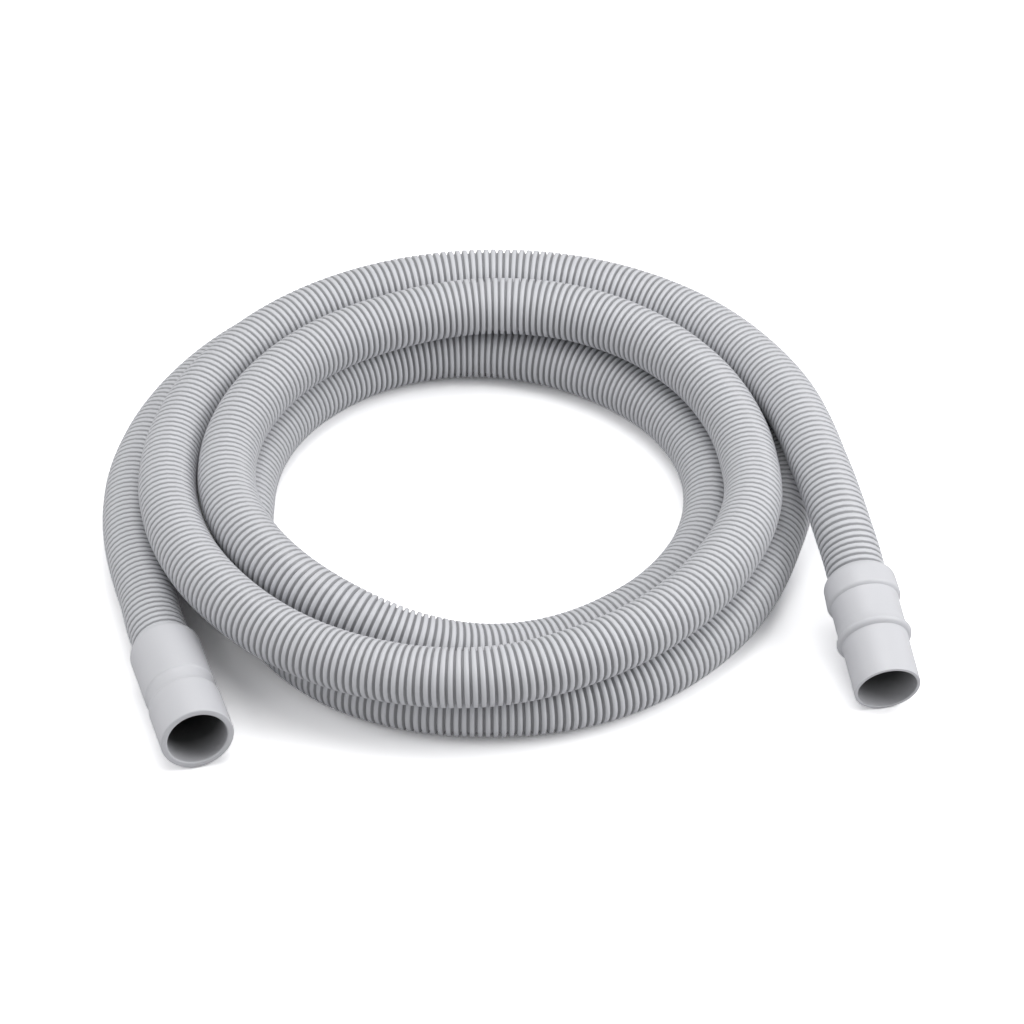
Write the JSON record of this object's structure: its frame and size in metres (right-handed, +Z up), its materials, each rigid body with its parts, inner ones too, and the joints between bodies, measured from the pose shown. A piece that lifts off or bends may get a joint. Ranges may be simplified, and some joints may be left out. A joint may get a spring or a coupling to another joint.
{
  "type": "washing machine drain hose",
  "caption": "Coiled corrugated plastic drain hose with a plain push-on cuff at one end and a stepped cuff at the other, carrying waste water from a washing machine to a standpipe.",
  "frame": {"origin": "middle of the underside of the box around the coil and both cuffs", "axes": "+Z up from the surface that the coil lies on, -Y the way that both cuffs point, +X towards the stepped cuff"},
  "size_m": [0.3598, 0.3326, 0.0525],
  "materials": {
    "hose_plastic": "light grey moulded plastic, satin",
    "cuff_plastic": "pale grey moulded plastic, satin"
  },
  "bodies": {
    "root": {"corrugated_hose": "hose_plastic", "plain_cuff": "cuff_plastic", "stepped_cuff": "cuff_plastic"}
  },
  "joints": []
}
